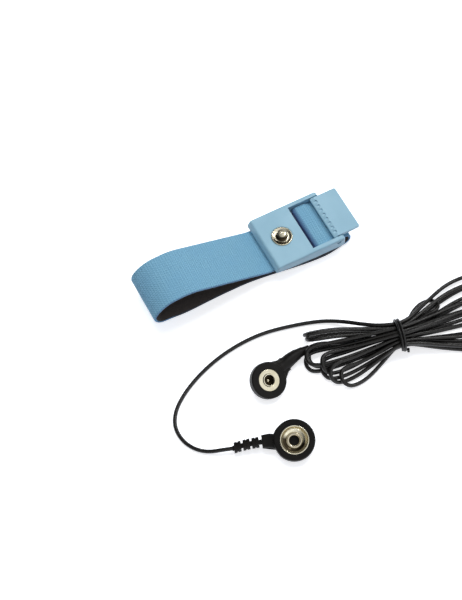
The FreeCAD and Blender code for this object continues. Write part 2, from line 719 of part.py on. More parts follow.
def limit_resistor():
    """Barrel with thicker ends and a wire lead each way."""
    z = axis_depth(SMALL)
    start = RESISTOR_X - RESISTOR_LENGTH / 2
    end = RESISTOR_X + RESISTOR_LENGTH / 2
    cap = RESISTOR_LENGTH / 4
    body = rod(RESISTOR_RADIUS - 0.15, start, end, 0, z)
    body = body.fuse(rod(RESISTOR_RADIUS, start, start + cap, 0, z))
    body = body.fuse(rod(RESISTOR_RADIUS, end - cap, end, 0, z))
    lead = rod(RESISTOR_LEAD, SMALL["reach"] - BARREL_LENGTH + 0.2, BOOT_STRAIGHT, 0, z)
    return body.fuse(lead).removeSplitter()


def large_snap_cover():
    z = axis_depth(LARGE)
    cover = cover_shell(LARGE)
    start = LARGE["cover_radius"] - NECK_ROOT
    wires = []
    for x, shrink in ((start, 0.0), (NECK_END, NECK_TAPER)):
        half = (NECK_WIDTH - shrink) / 2
        tall = (NECK_HEIGHT - shrink / 2) / 2
        face = closed_face([Vector(x, -half, z - tall), Vector(x, half, z - tall),
                            Vector(x, half, z + tall), Vector(x, -half, z + tall)], [NECK_ROUND] * 4)
        wires.append(face.OuterWire)
    cover = cover.fuse(Part.makeLoft(wires, True, True))
    cover = cover.fuse(rod(RELIEF_CORE, NECK_END - 1, RELIEF_END, 0, z))
    for i in range(PAIR_COUNT):
        middle = PAIR_FIRST + i * PAIR_STEP
        cover = cover.fuse(rod(RELIEF_PAIR_CORE, middle - RIB_SPACING / 2, middle + RIB_SPACING / 2, 0, z))
        for side in (-0.5, 0.5):
            centre = middle + side * RIB_SPACING
            cover = cover.fuse(rod(RIB_RADIUS, centre - RIB_THICK / 2, centre + RIB_THICK / 2, 0, z))
    cover = cover.cut(metal_room(LARGE))
    return cover.cut(conductor_room(LARGE, False)).removeSplitter()


def cord_arcs(points):
    """Arc radius at each inner point: 0.45 of the shorter run over tan of half the turn."""
    radii = []
    for before, point, after in zip(points, points[1:], points[2:]):
        turn = (point - before).getAngle(after - point)
        run = min((point - before).Length, (after - point).Length)
        radii.append(0.45 * run / math.tan(turn / 2))
    return radii


def cord_wire(points):
    edges = []
    last = points[0]
    for i, radius in enumerate(cord_arcs(points)):
        start, middle, end, _ = corner(points[i], points[i + 1], points[i + 2], radius)
        edges += line(last, start)
        edges.append(Part.Arc(start, middle, end).toShape())
        last = end
    edges += line(last, points[-1])
    return Part.Wire(edges)


def pipe(wire, radius):
    first = wire.Edges[0]
    start = first.Vertexes[0].Point
    way = first.tangentAt(first.FirstParameter)
    ring = Part.Wire(Part.Circle(start, way, radius).toShape())
    return wire.makePipeShell([ring], True, False)


def hank_point(u, v, z):
    angle = math.radians(HANK_ANGLE)
    return Vector(HANK_X + u * math.cos(angle) - v * math.sin(angle),
                  HANK_Y + u * math.sin(angle) + v * math.cos(angle), z)


def bend_in(start, end, way):
    """Two equal arcs from start to end, both ends along the same way."""
    middle = (start + end) * 0.5
    chord = middle - start
    turn = chord.getAngle(way)
    if turn < 1e-4:
        return line(start, end)
    side = way - unit(chord) * (way * unit(chord))
    bulge = unit(side) * (chord.Length / 2 * math.tan(turn / 2))
    return [Part.Arc(start, start + chord * 0.5 + bulge, middle).toShape(),
            Part.Arc(middle, middle + chord * 0.5 - bulge, end).toShape()]


def hank_tracks():
    """Track number and layer, at each end, of every run of the hank."""
    runs = []
    layer = 0
    track = 0
    way = 1
    for _ in range(HANK_RUNS):
        last = layer
        if runs and (track == HANK_LAST or track == 0):
            layer += 1
            way = -way
        runs.append((track, last, layer))
        track += way
    return runs


def hank_edges():
    """Runs side by side, even ones to the right behind and odd ones back in front."""
    step = {"waist": WAIST_STEP / 2, "left": LEFT_STEP / 2, "right": RIGHT_STEP / 2}
    inner = {"waist": WAIST_INNER, "left": LEFT_INNER, "right": RIGHT_INNER}
    place = {"waist": 0, "left": -HANK_LEFT, "right": HANK_RIGHT}
    lift = {"waist": 2 * TIE_RADIUS + TIE_GAP, "left": 0, "right": 0}

    def spot(run, where, layer):
        side = 1 if run % 2 == 0 else -1
        out = inner[where] + (HANK_LAST - tracks[run][0]) * step[where]
        return place[where], side * out, CORD_Z + layer * LAYER_STEP + lift[where]

    tracks = hank_tracks()
    edges = []
    for run, (_, first, last) in enumerate(tracks):
        ends = ("left", "right") if run % 2 == 0 else ("right", "left")
        start = spot(run, ends[0], first)
        waist = spot(run, "waist", (first + last) / 2)
        end = spot(run, ends[1], last)
        way = hank_point(1 if run % 2 == 0 else -1, 0, 0) - hank_point(0, 0, 0)
        if run == 0:
            lead_in = (start[0] - CORD_DIAMETER, start[1], start[2])
            edges += line(hank_point(*lead_in), hank_point(*start))
        edges += bend_in(hank_point(*start), hank_point(*waist), way)
        if run == HANK_RUNS - 1:
            out = (waist[0] - HANK_END, waist[1], waist[2])
            edges += line(hank_point(*waist), hank_point(*out))
            break
        edges += bend_in(hank_point(*waist), hank_point(*end), way)
        after = spot(run + 1, ends[1], tracks[run + 1][1])
        radius = abs(end[1] - after[1]) / 2
        outward = radius if ends[1] == "right" else -radius
        top = (end[0] + outward, (end[1] + after[1]) / 2, end[2])
        edges.append(Part.Arc(hank_point(*end), hank_point(*top), hank_point(*after)).toShape())
    return edges


def least_gap(edges, apart):
    """Least distance between parts of the cord that lie further apart along it."""
    points = []
    travelled = 0.0
    for edge in edges:
        count = max(2, int(edge.Length / 1.5))
        for i in range(count):
            share = i / count
            where = edge.FirstParameter + (edge.LastParameter - edge.FirstParameter) * share
            point = edge.valueAt(where)
            points.append((travelled + edge.Length * share, point.x, point.y, point.z))
        travelled += edge.Length
    best = 1e9
    for i, (s, x, y, z) in enumerate(points):
        for t, a, b, c in points[i + 1:]:
            if t - s > apart and abs(x - a) < best and abs(y - b) < best:
                best = min(best, math.sqrt((x - a) ** 2 + (y - b) ** 2 + (z - c) ** 2))
    return best - CORD_DIAMETER


def cord_tie():
    """Wire ring round the waist with a twisted end of two strands in front."""
    lift = 2 * TIE_RADIUS + TIE_GAP
    outer = WAIST_INNER + HANK_LAST * WAIST_STEP / 2
    reach = CORD_RADIUS + TIE_RADIUS + TIE_GAP
    back = outer + reach
    front = -(outer - WAIST_STEP / 2) - reach
    low = TIE_RADIUS + FLOOR_GAP
    crown = CORD_Z + 3 * LAYER_STEP + lift + reach
    shoulder = crown - TIE_SLOPE
    ridge = -(WAIST_INNER + WAIST_STEP / 2)
    half = TIE_CROWN / 2
    spots = [(front, low), (back, low), (back, shoulder), (ridge + half, crown), (ridge - half, crown),
             (front, shoulder)]
    face = closed_face([hank_point(0, v, z) for v, z in spots], [TIE_BEND] * len(spots))
    ring = pipe(face.OuterWire, TIE_RADIUS)
    tails = None
    for side in (0, 1):
        start = hank_point(0, front, TIE_TWIST_Z + side * TIE_TWIST_STEP)
        end = hank_point(TIE_SPREAD * (0.5 - side), front - TIE_TAIL,
                         TIE_TWIST_Z + (side + 0.3) * TIE_TWIST_RISE)
        strand = Part.makeCylinder(TIE_RADIUS, (end - start).Length, start, end - start)
        tails = strand if tails is None else tails.fuse(strand)
    return ring.fuse(tails).removeSplitter()


def tube_report(name, wire, solid, radii):
    section = math.pi * CORD_RADIUS ** 2
    print(name, "length", round(wire.Length, 1), "volume over section times length",
          round(solid.Volume / (section * wire.Length), 4),
          "radii", [round(r, 1) for r in radii])


def moved(shape, placement):
    copy = shape.copy()
    copy.Placement = placement.multiply(copy.Placement)
    return copy


def save(name, shape):
    solid = shape.Solids[0] if len(shape.Solids) == 1 else shape
    bounds = shape.optimalBoundingBox(False, False)
    print(name, "solids", len(shape.Solids), "valid", shape.isValid(), "volume", round(shape.Volume, 2),
          "from", [round(c, 3) for c in (bounds.XMin, bounds.YMin, bounds.ZMin)],
          "to", [round(c, 3) for c in (bounds.XMax, bounds.YMax, bounds.ZMax)])
    solid.exportStep("parts/" + name + ".step")


def main():
    os.makedirs("parts", exist_ok=True)
    shift = FreeCAD.Placement(Vector(BUCKLE_X, 0, 0), FreeCAD.Rotation())
    for make in (buckle_frame, clamp_lever, snap_stud, stud_rivet, contact_plate, elastic_web,
                 conductive_lining):
        save(make.__name__, moved(make(), shift))

    small = snap_place(SMALL, SMALL_AT, SMALL_TURN, SMALL_DIP, SMALL_ROLL)
    large = snap_place(LARGE, LARGE_AT, LARGE_TURN, LARGE_DIP, LARGE_ROLL)
    for prefix, size, place in (("small_snap_", SMALL, small), ("large_snap_", LARGE, large)):
        save(prefix + "socket", moved(socket(size), place))
        save(prefix + "spring", moved(spring(size), place))
        save(prefix + "rivet", moved(snap_rivet(size), place))
        save(prefix + "terminal", moved(terminal(size), place))
    for make, place in ((small_snap_cover, small), (small_snap_conductor, small), (limit_resistor, small),
                        (large_snap_cover, large), (large_snap_conductor, large)):
        save(make.__name__, moved(make(), place))
    for name, size, place in (("small", SMALL, small), ("large", LARGE, large)):
        mouth = place.multVec(Vector(0, 0, -size["mount_depth"]))
        way = place.Rotation.multVec(Vector(0, 0, 1))
        print(name, "bore at", [round(c, 4) for c in mouth], "axis", [round(c, 6) for c in way])

    hank = hank_edges()
    hank_wire = Part.Wire(hank)
    hank_tube = pipe(hank_wire, CORD_RADIUS)
    tube_report("cord_hank", hank_wire, hank_tube,
                sorted({round(e.Curve.Radius, 1) for e in hank if hasattr(e.Curve, "Radius")}))
    print("cord_hank least gap to itself", round(least_gap(hank, 4 * CORD_DIAMETER), 3))
    save("cord_hank", hank_tube)

    leave = large.multVec(Vector(RELIEF_END, 0, axis_depth(LARGE)))
    lead_way = large.Rotation.multVec(Vector(1, 0, 0))
    lead = [leave, leave + lead_way * LEAD_STRAIGHT] + [Vector(*p) for p in LEAD_POINTS]
    join = hank[-1].Vertexes[-1].Point
    lead += [join + unit(join - hank[-1].Vertexes[0].Point) * LEAD_STRAIGHT, join]
    lead_wire = cord_wire(lead)
    lead_tube = pipe(lead_wire, CORD_RADIUS)
    tube_report("cord_lead", lead_wire, lead_tube, cord_arcs(lead))
    save("cord_lead", lead_tube)

    last, angle = boot_path()[-1]
    leave = small.multVec(last)
    bend = math.radians(angle)
    tail_way = small.Rotation.multVec(Vector(math.cos(bend), -math.sin(bend), 0))
    join = hank[0].Vertexes[0].Point
    hank_way = unit(hank[0].Vertexes[-1].Point - join)
    tail = [leave, leave + tail_way * TAIL_STRAIGHT, join - hank_way * TAIL_STRAIGHT, join]
    tail_wire = cord_wire(tail)
    tail_tube = pipe(tail_wire, CORD_RADIUS)
    tube_report("cord_tail", tail_wire, tail_tube, cord_arcs(tail))
    save("cord_tail", tail_tube)
    for name, route in (("lead", lead), ("tail", tail)):
        print(name, "points", [tuple(round(c, 2) for c in p) for p in route])

    save("cord_tie", cord_tie())


main()
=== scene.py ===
import math

import bmesh
import bpy
from mathutils import Matrix, Vector


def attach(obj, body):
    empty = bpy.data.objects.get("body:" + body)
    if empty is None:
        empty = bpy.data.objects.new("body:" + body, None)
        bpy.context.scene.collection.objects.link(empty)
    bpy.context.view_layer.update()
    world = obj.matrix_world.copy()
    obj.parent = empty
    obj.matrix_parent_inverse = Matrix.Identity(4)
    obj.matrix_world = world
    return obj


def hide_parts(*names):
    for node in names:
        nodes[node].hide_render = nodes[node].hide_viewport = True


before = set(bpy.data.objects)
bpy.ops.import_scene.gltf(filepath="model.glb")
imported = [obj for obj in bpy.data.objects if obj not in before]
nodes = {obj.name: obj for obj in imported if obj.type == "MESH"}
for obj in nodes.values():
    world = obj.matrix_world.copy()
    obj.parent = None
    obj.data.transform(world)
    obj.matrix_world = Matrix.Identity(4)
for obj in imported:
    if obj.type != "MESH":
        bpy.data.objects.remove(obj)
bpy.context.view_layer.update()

# The sizes of pieces are in millimetres, unless a comment says metres. The scene is in metres.
MM = 0.001

# Wristband. The route is the line between web and lining. It starts in the frame and heads for
# -x with the web on top. Each row is a straight run, then the radius and the turn in degrees of
# the bend after it. A positive turn bends towards the lining.
BUCKLE_X = 7.765
BAND_WIDTH = 21.0
WEB_THICK = 1.0
LINING_THICK = 0.5
BAND_START = (14.6, 4.1)
BAND_TURNS = [
    (15.9868, 8.0, -20.0355), (31.8701, 20.0, 23.0483), (2.3401, 11.0, 48.8689),
    (0.2311, 4.7, 65.6711), (0.0489, 4.2, 53.271), (21.0206, 40.0, 9.1762), (53.99, 2.1, 90.0),
    (0.0, 2.1, 90.0), (5.0917, 3.0, -33.6901), (0.3467, 3.0, 33.6901), (2.5917, 1.0, 90.0),
    (1.125, 1.525, 90.0), (6.175, 0.0, 0.0),
]

# How the band is drawn: steps along a straight run and along a bend, the latter taken at a
# distance outside the route, and the width and drop of its rounded edges.
RUN_STEP = 1.12
BEND_STEP = 0.7
BEND_OUTSIDE = 0.8
EDGE_WIDTH = 0.35
EDGE_DROP = 0.22

# Ribs across each layer: their number and half the depth of the grooves between them.
WEB_RIBS = (24, 0.05)
LINING_RIBS = (16, 0.03)

# Where the band's lower run lies to the side: length along the band and distance in y.
BAND_SWAY = [(72.0, 0.0), (86.0, 0.45), (108.0, 2.2), (114.0, 2.2), (152.0, -1.4), (164.7, 0.0)]

# Lengths along the band between which painted shade fades in and out: painted shade on the
# selvedge of the lower run, and painted shade on the crease where the band's end turns down beside
# the face plate.
LOWER_RUN_SHADE = (82.0, 86.0, 160.0, 162.0)
TURN_DOWN_SHADE = (179.5, 181.0, 183.0, 184.0)

# Periods of the weave, along and across the band.
WEB_WEAVE = (1.1, 0.95)
LINING_WEAVE = (0.5, 0.6)

# Ground cord. The route's first row goes from the large snap along the table, then each row is
# one fold of the hank, and the last row runs into the small snap's boot.
CORD_DIAMETER = 1.6
CORD_ROUTE = [
    [(-44, -70.2, 2.4), (-47.8, -68.8, 2.2), (-52.5, -66.8, 1.2), (-56.5, -63.2, 0.8),
     (-59.1, -57.8, 0.8), (-59.1, -51.2, 0.8), (-55.7, -45.4, 0.8), (-49.3, -40.4, 0.8),
     (-40.1, -35.8, 0.8), (-29.1, -32.5, 0.8), (-17.5, -31.1, 0.8), (-6.4, -31.8, 0.9),
     (10.9, -36.3, 0.8), (19.2, -41.2, 1.8), (26.1, -47.9, 4)],
    [(31.4, -52.2, 5.3)],
    [(40.3, -55.6, 5.5), (52.6, -50.8, 3.3), (66, -46.2, 1.4), (77.9, -47.9, 2.1),
     (82.9, -55.8, 4.3), (80.9, -64.8, 6.6), (73, -69.9, 6.6), (61.3, -67.2, 5.2),
     (49.6, -64.3, 5.2), (38.9, -61.4, 5.9)],
    [(33, -60, 5.7), (24.4, -59.5, 4.8), (14.4, -59, 4.6), (6.9, -58, 5.3), (4, -60, 4.6),
     (3.6, -62.7, 2.5), (6, -64.7, 0.6), (13.5, -65.3, 1), (23.5, -64.3, 3.8),
     (32.4, -63.2, 6.2)],
    [(38.5, -64.6, 5.9), (49.3, -70.4, 3.7), (61.1, -76.6, 2), (72.9, -80.1, 2.9),
     (80.3, -75.9, 4.6), (81.6, -67.6, 5), (76.4, -60.1, 4.6), (64.3, -57.6, 3.8),
     (51.2, -57.6, 5), (39.4, -57.6, 6.6)],
    [(33.6, -56.1, 6.8), (23, -53.4, 6.4), (11.4, -50.1, 5.7), (2.7, -47.4, 5.6),
     (-0.5, -48.8, 4.7), (-1.4, -52.1, 3.9), (0.5, -55.2, 4), (9.6, -57.2, 3.9),
     (22.1, -58.2, 3.3), (33.3, -59.1, 3.6)],
    [(39.4, -60.7, 3.5), (49.4, -62.1, 2.8), (60.5, -63.4, 2.3), (68.8, -64.7, 2.3),
     (70.8, -67.7, 2.5), (70.1, -71.2, 2.4), (67, -73, 2.4), (58.6, -70.6, 3), (47.8, -66.5, 4.4),
     (38.1, -62.8, 5.6)],
    [(32.1, -61.6, 5.6), (25.2, -61.6, 4.1), (16.6, -61.4, 2.8), (10.1, -60.4, 3.1),
     (7.3, -62.6, 3), (7, -66, 2.3), (9.6, -68.4, 1), (16.8, -68, 0.7), (26.3, -64.4, 1.6),
     (33.6, -61.6, 3.1)],
    [(38.7, -63.5, 2.8), (49, -70.3, 1.3), (60.5, -77.4, 0.8), (71.5, -80.9, 0.9),
     (77.9, -77.4, 2.2), (79.8, -70.7, 4.8), (75.9, -64.1, 5.6), (64.7, -61.5, 4.8),
     (51.5, -61.2, 5.9), (39.3, -60.9, 7.5)],
    [(33.7, -59.4, 7.2), (24.2, -56.8, 5.4), (13.7, -54.1, 4.2), (5.7, -52.6, 5.4),
     (3, -55.1, 5.9), (2.5, -58.3, 4.6), (4.4, -60.1, 1.9), (12.2, -60.8, 0.7),
     (23.1, -60.7, 2.1), (33, -60.8, 4.3)],
    [(38.8, -62, 4.2), (48.6, -67.1, 2.6), (59.5, -72.7, 1.7), (71.3, -75.7, 2.5),
     (80.1, -70.2, 3.2), (82.7, -60.7, 3.6), (77.3, -52.4, 3.6), (64.7, -50.5, 3.6),
     (51.4, -53.6, 4.6), (39.6, -56.8, 5.3)],
    [(34.1, -55.1, 5.1), (24.5, -50.7, 5.9), (13.7, -46, 7.2), (5.2, -43.8, 8), (2.9, -42, 5.6),
     (3.6, -40.4, 2.3), (6.9, -40, 0.6), (15.4, -42.9, 1.1), (25.9, -49, 2.3), (35, -54.4, 3.8)],
    [(40.1, -55.9, 3.9), (53.3, -53.4, 1.8), (67.7, -50.7, 0.7), (78.6, -52.1, 0.9),
     (81.7, -56.7, 1.1), (80.7, -62, 2.4), (76.4, -64.8, 4), (65.9, -62.6, 3.6),
     (52.5, -61.5, 4.2), (39.9, -60.4, 5.1)],
    [(33.9, -58.5, 5.1), (24.3, -56.3, 3.6), (13.7, -54.5, 2.1), (5.8, -53.1, 2.2),
     (2.9, -55.2, 2.5), (1.9, -58.9, 2.1), (3.8, -61.9, 0.9), (11.8, -63.1, 0.7),
     (22.6, -62.9, 2.5), (32, -62.9, 4.5)],
    [(37.8, -64, 4.4), (48.6, -68.9, 2.8), (60.1, -74.3, 0.9), (70.5, -77.2, 0.8),
     (76, -73.9, 0.8), (77.3, -67.9, 2.6), (73.7, -62.2, 2.1), (63.4, -59.8, 1.7),
     (51.1, -59.5, 4.1), (39.3, -59.4, 6.7)],
    [(33.5, -57.8, 6.5), (22.8, -54.6, 4.5), (11.1, -51, 2.8), (2.1, -48.4, 2.7),
     (-1.2, -49.8, 2.1), (-2.1, -53.2, 1.2), (0, -56.2, 0.7), (9.4, -58, 0.9), (22, -59.2, 1.4),
     (33.1, -60.3, 2.3)],
    [(38.9, -61.7, 2.3), (49.4, -65.2, 1.4), (60.7, -68.9, 0.8), (71.2, -71.4, 0.8),
     (77.5, -67.6, 0.8), (79.6, -61.1, 0.8), (76, -55.7, 0.8), (65.1, -54.6, 0.9), (52, -57.2, 3),
     (39.8, -58.7, 5.3)],
    [(34, -56.8, 5.1), (24.4, -52.6, 5.1), (13.7, -48.5, 6.3), (5.3, -46.5, 7.4),
     (2.9, -44.3, 5.4), (3.6, -42.2, 2.3), (6.8, -41.8, 0.6), (14.9, -44.6, 1.1),
     (24.8, -50.3, 2), (33.8, -55.4, 3.1)],
    [(39.2, -57.4, 2.8), (43.1, -53.7, 1.2), (49.5, -49.4, 0.8), (54.7, -49, 0.8),
     (57.1, -51.2, 2.2), (56.9, -54.3, 3.5), (54.1, -56.2, 4.4), (49.4, -55.6, 4),
     (43.5, -57, 2.5), (39.7, -58.7, 2)],
    [(33.8, -57.2, 2.2), (23.6, -53.5, 1.3), (12.5, -49.2, 0.8), (4.2, -46.7, 0.9),
     (1.1, -48.5, 0.8), (0.2, -51.9, 0.8), (2.2, -55, 0.8), (11.1, -56.5, 0.8),
     (23.2, -57.6, 1.3), (34.1, -58.8, 2.1)],
    [(39.8, -60.3, 1.9), (51.1, -62.9, 1), (63.3, -65.6, 0.8), (72.8, -67.9, 0.8),
     (76.5, -65.6, 0.8), (77.5, -61.4, 0.8), (75.5, -57.9, 0.8), (66.1, -56.7, 0.8),
     (53, -58.3, 2.1), (40.4, -59.4, 3.7)],
    [(34.3, -57.5, 3.7), (24.3, -53.6, 3), (13.4, -49.7, 2.4), (5.6, -45.6, 2.4),
     (2.4, -46.4, 2.5)],
]

# The hank's waist, and the angle in degrees at which the hank lies.
HANK_MIDDLE = (36.2, -59.4)
HANK_ANGLE = -13.0

# Snaps: middle of the face, or where the stud's axis meets z = 0, then the way along the snap,
# and the way that it faces.
SMALL_FACE = ((-18.7, -53.0, 6.139), (0.9511, 0.309, 0.0), (0.1403, -0.4318, 0.891))
LARGE_FACE = ((-22.5, -79.6, 6.518), (-0.933, 0.3578, -0.042), (-0.1479, -0.2742, 0.9502))
STUD_FACE = ((15.665, 0.0, 0.0), (1.0, 0.0, 0.0), (0.0, 0.0, 1.0))

# Where painted shade darkens a snap's metal: between two depths under its face, inside a radius,
# and past a place along DIM_WAY. The last two have a short fade.
DIM_WAY = (-0.6, -0.62, -0.5)
SMALL_DIM = (0.15, 0.6, 2.3, -6.0)
LARGE_DIM = (0.9, 1.9, 5.2, -1.0)
STUD_DIM = (-11.6, -11.3, 2.35, -30.0)
RADIUS_FADE = 0.1
SIDE_FADE = 1.8

# Profiles of pressed metal, as radius and height over the face, and the steps of a full turn.
SPIN_STEPS = 72
STUD = [
    (1.6, 8.6), (4.0, 8.6), (4.2, 8.68), (4.3, 8.88), (4.24, 9.08), (4.06, 9.2), (3.86, 9.16),
    (3.6, 9.0), (3.3, 8.86), (2.9, 8.79), (2.45, 8.81), (2.15, 8.9), (1.9, 9.05), (1.74, 9.25),
    (1.68, 9.6), (1.7, 9.95), (1.85, 10.15), (1.97, 10.35), (2.0, 10.7), (2.0, 11.0),
    (1.97, 11.25), (1.85, 11.42), (1.65, 11.54), (1.4, 11.597), (1.0, 11.657), (0.5, 11.704),
    (0.0, 11.72), (0.0, 11.44), (0.9, 11.4), (1.45, 11.2), (1.68, 10.95), (1.68, 10.35),
    (1.5, 10.15), (1.38, 9.95), (1.38, 8.9),
]
LARGE_CUP = [
    (5.6, -0.28), (5.58, -0.08), (5.47, 0.06), (5.3, 0.1), (5.13, 0.04), (5.05, -0.12),
    (4.98, -0.6), (4.84, -1.08), (4.6, -1.48), (4.26, -1.82), (3.85, -2.1), (3.5, -2.28),
    (3.2, -2.38), (2.2, -2.4), (2.2, -2.75), (3.9, -2.72), (4.4, -2.6), (4.86, -2.32),
    (5.2, -1.86), (5.38, -1.3), (5.42, -0.75), (5.42, -0.3),
]
SMALL_RIVET = [
    (0.0, -1.35), (0.3, -1.4), (0.55, -1.55), (0.72, -1.8), (0.8, -2.08), (1.3, -2.1),
    (1.3, -2.6), (0.8, -2.7), (0.8, -4.0), (0.0, -4.0),
]
LARGE_EYELET = [
    (1.75, -3.7), (1.75, -2.7), (1.8, -2.36), (1.95, -2.06), (2.2, -1.84), (2.5, -1.75),
    (2.8, -1.81), (3.05, -1.98), (3.22, -2.22), (3.28, -2.41), (2.3, -2.41), (2.3, -3.7),
]

# Edges that lie past CUT_FROM and run farther along than LONGEST_EDGE are cut CUTS times before
# they are bent.
CUT_FROM = 5.0
LONGEST_EDGE = 2.0
CUTS = 6

# The small snap's boot, in the snap's own frame: where its change starts and ends, the height of
# its axis, and at its end the share that comes off, the shift, and the bend of the solid.
BOOT_FROM = 11.0
BOOT_TO = 22.0
BOOT_AXIS = -3.1
BOOT_THINNER = 0.27
BOOT_DROP = 1.1
BOOT_BEND = -0.845

# The large snap's strain relief, in the snap's own frame: where its bow starts, the length of the
# rise, the crest, the end and the depth. Then the core between the ribs: where it starts, the
# height of its axis, its radius in the solid and as drawn, and how near to it a point may lie.
RELIEF_START = 5.0
RELIEF_RISE = 5.0
RELIEF_CREST = 13.0
RELIEF_END = 23.6
RELIEF_BOW = 1.1
RELIEF_FROM = 12.0
RELIEF_AXIS = -3.3
CORE_RADIUS = 1.3
CORE_DRAWN = 1.0
CORE_NEAR = 0.03

# Twist tie: an oval helix of two wraps round the hank's waist. Its end goes through points given
# along and across the hank and in height.
TIE_RADIUS = 0.5
TIE_OVAL = (6.6, 4.25)
TIE_CENTRE = (0.2, 4.9)
TIE_WRAPS = 2
TIE_PITCH = 1.15
TIE_END = [(1.3, -6.3, 3.6), (1.25, -6.8, 3.0)]
TIE_STEPS = 40
TIE_SIDES = 12

# Stage, in metres. Each lamp has its place, size, power in watts and colour, and says whether
# metal mirrors it.
TABLE_SIZE = 3.0
TABLE_GLOW = 0.68
WHITE = (1.0, 1.0, 1.0)
LAMP_AIM = (0.0, -0.03, 0.0)
LAMPS = {
    "key_panel": ((0.12, 0.32, 0.85), (0.75, 0.55), 5.2, WHITE, False),
    "left_fill": ((-0.75, -0.20, 0.30), (0.45, 0.35), 0.2, (0.5, 0.75, 1.0), False),
    "front_fill": ((0.15, -0.80, 0.35), (0.5, 0.3), 0.25, (0.9, 0.6, 1.0), False),
    "catch_light": ((0.50, 0.15, 0.80), (0.2, 0.14), 1.3, WHITE, True),
    "stud_light": ((0.255, 0.40, 0.78), (0.10, 0.08), 0.12, WHITE, True),
}

# Strength of the surroundings, at the middle and its growth along x and y: as metal mirrors
# them, with a least value, and as they light the rest. Low down their light is tinted.
MIRRORED = (0.46, 0.36, -0.56)
MIRRORED_LEAST = 0.05
SOFT_LIGHT = (0.38, 0.14, 0.08)
LOW_TINT = (0.88, 0.84)

CAMERA_TARGET = (-0.013735, -0.0119, 0.0)
CAMERA_BACK = (-0.227, -0.4284, 0.8746)
CAMERA_DISTANCE = 0.684
CAMERA_LENS = 102.9


class Sock:
    """A shader socket that takes part in plain arithmetic."""

    def __init__(self, tree, socket):
        self.tree = tree
        self.socket = socket

    def math(self, operation, *others):
        node = self.tree.nodes.new("ShaderNodeMath")
        node.operation = operation
        for place, value in zip(node.inputs, (self,) + others):
            put(self.tree, value, place)
        return Sock(self.tree, node.outputs[0])

    def __add__(self, other):
        return self.math("ADD", other)

    __radd__ = __add__

    def __mul__(self, other):
        return self.math("MULTIPLY", other)

    def __sub__(self, other):
        return self.math("SUBTRACT", other)

    def __rsub__(self, other):
        return (self * -1.0) + other


def put(tree, value, place):
    if isinstance(value, Sock):
        tree.links.new(value.socket, place)
    else:
        place.default_value = value


class Finish:
    """A material under construction."""

    def __init__(self, name):
        self.material = bpy.data.materials.new(name)
        self.material.use_nodes = True
        self.tree = self.material.node_tree
        self.shader = self.tree.nodes["Principled BSDF"]

    def node(self, kind, settings=None, output=0, **sockets):
        """Adds a node. An input goes by its name, or by its number as n0, n1 and so on."""
        made = self.tree.nodes.new(kind)
        for key, value in (settings or {}).items():
            setattr(made, key, value)
        for key, value in sockets.items():
            numbered = key[0] == "n" and key[1:].isdigit()
            place = made.inputs[int(key[1:]) if numbered else key.replace("_", " ")]
            put(self.tree, value, place)
        return Sock(self.tree, made.outputs[output])

    def place(self):
        return self.node("ShaderNodeTexCoord", output="Object")

    def uv(self):
        return self.node("ShaderNodeTexCoord", output="UV")

    def axes(self, vector):
        split = self.tree.nodes.new("ShaderNodeSeparateXYZ")
        put(self.tree, vector, split.inputs[0])
        return [Sock(self.tree, split.outputs[i]) for i in range(3)]

    def noise(self, where, scale, detail=2.0):
        return self.node("ShaderNodeTexNoise", Vector=where, Scale=scale, Detail=detail)

    def band(self, value, low, high, at_low=0.0, at_high=1.0):
        return self.node("ShaderNodeMapRange", Value=value, n1=low, n2=high, n3=at_low, n4=at_high)

    def spread(self, noise, at_low=0.0, at_high=1.0):
        """Spreads the middle of a noise, where most of it lies, between two values."""
        return self.band(noise, 0.3, 0.7, at_low, at_high)

    def span(self, value, lengths):
        """One between the middle two lengths, fading to nought at the outer two."""
        rise_from, rise_to, fall_from, fall_to = lengths
        return self.band(value, rise_from, rise_to) * self.band(value, fall_from, fall_to, 1.0, 0.0)

    def wave(self, value, period):
        return (value * (math.pi * 2 / period)).math("SINE")

    def mix(self, share, one, two):
        return self.node("ShaderNodeMix", {"data_type": "RGBA"}, output=2, n0=share, n6=one, n7=two)

    def vector(self, operation, output="Value", **sockets):
        return self.node("ShaderNodeVectorMath", {"operation": operation}, output, **sockets)

    def stretched(self, where, scale):
        return self.node("ShaderNodeMapping", Vector=where, Scale=scale)

    def bump(self, height, distance, strength):
        node = self.tree.nodes.new("ShaderNodeBump")
        node.inputs["Strength"].default_value = strength
        node.inputs["Distance"].default_value = distance
        put(self.tree, height, node.inputs["Height"])
        self.tree.links.new(node.outputs[0], self.shader.inputs["Normal"])

    def set(self, **values):
        for key, value in values.items():
            put(self.tree, value, self.shader.inputs[key.replace("_", " ")])
        return self.material


def rgb(red, green, blue):
    """Linear colour of the 0 to 255 value that a picture shows."""
    def line(value):
        value /= 255.0
        return value / 12.92 if value <= 0.04045 else ((value + 0.055) / 1.055) ** 2.4
    return (line(red), line(green), line(blue), 1.0)


def moulded_blue():
    f = Finish("moulded_blue")
    where = f.place()
    cloud = f.noise(where, 90.0, 3.0)
    grain = f.noise(where, 2600.0)
    colour = f.mix(f.band(cloud, 0.35, 0.65), rgb(140, 181, 201), rgb(148, 188, 207))
    f.bump(grain * 0.6 + cloud * 0.4, 0.00004, 0.35)
    return f.set(Base_Color=colour, Roughness=f.spread(grain, 0.34, 0.46), Specular_IOR_Level=0.5,
                 Subsurface_Weight=0.06, Subsurface_Radius=(0.001, 0.001, 0.001),
                 Subsurface_Scale=1.0)


